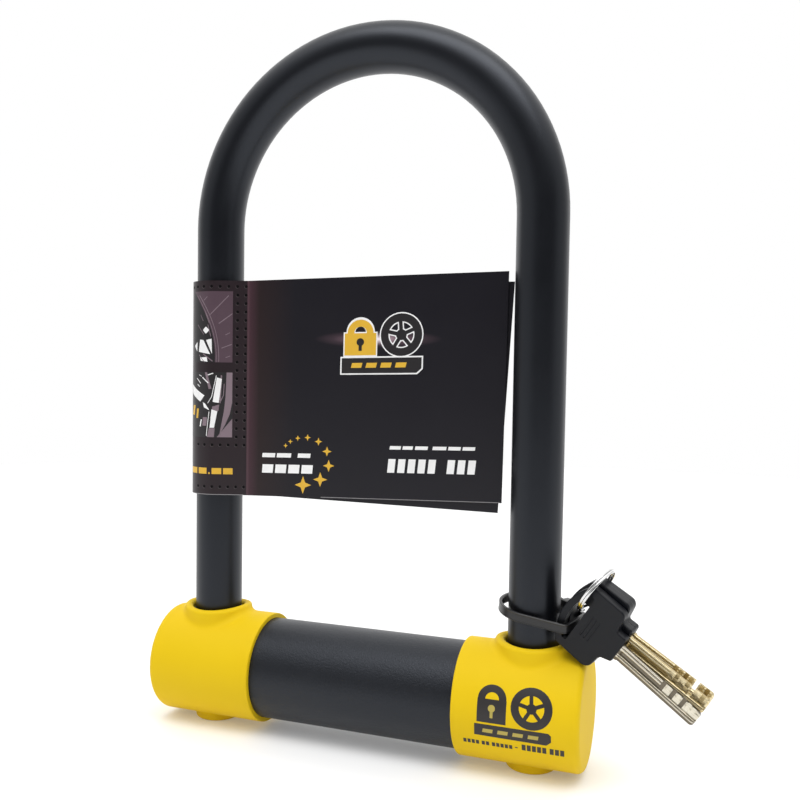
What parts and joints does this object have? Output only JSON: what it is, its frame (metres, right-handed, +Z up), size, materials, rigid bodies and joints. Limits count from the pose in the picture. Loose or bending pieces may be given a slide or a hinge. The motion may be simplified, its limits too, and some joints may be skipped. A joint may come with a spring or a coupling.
{
  "type": "u lock",
  "caption": "Heavy U lock: coated shackle in a tubular crossbar with soft end caps, double-bolt disc cylinder, keys on a ring tied to a leg and a folded card sleeve.",
  "frame": {"origin": "middle of the crossbar's axis", "axes": "+X along the crossbar towards the leg that carries the keys, +Z up the legs of the shackle, -Y is the front and the keyhole faces +Y"},
  "size_m": [0.2278, 0.047, 0.2925],
  "materials": {
    "coat": "smooth satin vinyl coat",
    "hard_steel": "hardened steel, fine turned finish",
    "powder_coat": "fine textured powder coat",
    "cap_plastic": "smooth soft satin plastic",
    "zinc": "as cast",
    "cylinder_brass": "machined",
    "bright_steel": "bright stainless",
    "bezel_plastic": "moulded, fine matt",
    "seal_rubber": "plain",
    "card": "printed card, satin",
    "key_plastic": "moulded, satin",
    "key_metal": "nickel silver, milled",
    "ring_wire": "nickel-plated wire",
    "tie_nylon": "moulded nylon"
  },
  "bodies": {
    "crossbar": {"crossbar_tube": "powder_coat", "left_end_cap": "cap_plastic", "right_end_cap": "cap_plastic", "left_end_plug": "zinc", "right_end_plug": "zinc", "left_leg_guide": "hard_steel", "right_leg_guide": "hard_steel", "left_leg_seal": "seal_rubber", "right_leg_seal": "seal_rubber", "left_bolt_guide": "zinc", "right_bolt_guide": "zinc", "lock_body": "zinc", "retaining_pins": "hard_steel", "cylinder_housing": "cylinder_brass", "keyhole_bezel": "bezel_plastic", "shutter_rivet": "bright_steel"},
    "shackle": {"shackle_bar": "hard_steel", "shackle_sleeve": "coat"},
    "card": {"card_sleeve": "card"},
    "tie": {"cable_tie": "tie_nylon"},
    "key_1": {"key_1_head": "key_plastic", "key_1_blade": "key_metal"},
    "key_2": {"key_2_head": "key_plastic", "key_2_blade": "key_metal"},
    "key_3": {"key_3_head": "key_plastic", "key_3_blade": "key_metal"},
    "ring": {"key_ring": "ring_wire"},
    "core": {"cylinder_core": "cylinder_brass", "guard_disc": "hard_steel", "disc_detainers": "cylinder_brass", "disc_spacers": "cylinder_brass", "cam_disc": "hard_steel", "cam_screw": "bright_steel"},
    "sidebar_unit": {"sidebar": "hard_steel"},
    "left_bolt_unit": {"left_bolt": "hard_steel", "left_bolt_pin": "hard_steel"},
    "right_bolt_unit": {"right_bolt": "hard_steel", "right_bolt_pin": "hard_steel"},
    "shutter": {"keyhole_shutter": "bright_steel"}
  },
  "joints": [
    {"name": "shackle_pull", "type": "slide", "parent": "crossbar", "child": "shackle", "axis": [0, 0, 1], "range_m": [0, 0.1]},
    {"name": "card_swing", "type": "hinge", "parent": "shackle", "child": "card", "pos_m": [-0.07, 0, 0.12], "axis": [0, 0, 1], "range_deg": [-90, 90]},
    {"name": "tie_turn", "type": "hinge", "parent": "shackle", "child": "tie", "pos_m": [0.07, 0, 0.037], "axis": [0, 0, 1], "range_deg": [-30, 40]},
    {"name": "keys_swing", "type": "hinge", "parent": "tie", "child": "key_1", "pos_m": [0.08488, -0.01195, 0.03426], "axis": [-0.2746, -0.9577, -0.0854], "range_deg": [0, 20]},
    {"name": "key_2_fan", "type": "hinge", "parent": "key_1", "child": "key_2", "pos_m": [0.08488, -0.01195, 0.03426], "axis": [-0.2746, -0.9577, -0.0854], "range_deg": [-3, 3]},
    {"name": "key_3_fan", "type": "hinge", "parent": "key_1", "child": "key_3", "pos_m": [0.08488, -0.01195, 0.03426], "axis": [-0.2746, -0.9577, -0.0854], "range_deg": [-5, 3]},
    {"name": "ring_rock", "type": "hinge", "parent": "key_1", "child": "ring", "pos_m": [0.09032, -0.00763, 0.04206], "axis": [0.2746, 0.9577, 0.0854], "range_deg": [-10, 10]},
    {"name": "core_turn", "type": "hinge", "parent": "crossbar", "child": "core", "pos_m": [0, 0, 0], "axis": [0, -1, 0], "range_deg": [0, 90]},
    {"name": "sidebar_slide", "type": "slide", "parent": "core", "child": "sidebar_unit", "axis": [0, 0, 1], "range_m": [0, 0.0008]},
    {"name": "left_bolt_slide", "type": "slide", "parent": "crossbar", "child": "left_bolt_unit", "axis": [-1, 0, 0], "range_m": [0, 0.004]},
    {"name": "right_bolt_slide", "type": "slide", "parent": "crossbar", "child": "right_bolt_unit", "axis": [1, 0, 0], "range_m": [0, 0.004]},
    {"name": "shutter_swing", "type": "hinge", "parent": "crossbar", "child": "shutter", "pos_m": [0, 0.023, 0.0103], "axis": [0, 1, 0], "range_deg": [-100, 100]}
  ],
  "couplings": [
    {"joint": "core_turn", "follows": "left_bolt_slide", "rad_per_m": 392.69},
    {"joint": "right_bolt_slide", "follows": "left_bolt_slide", "ratio": 1}
  ]
}
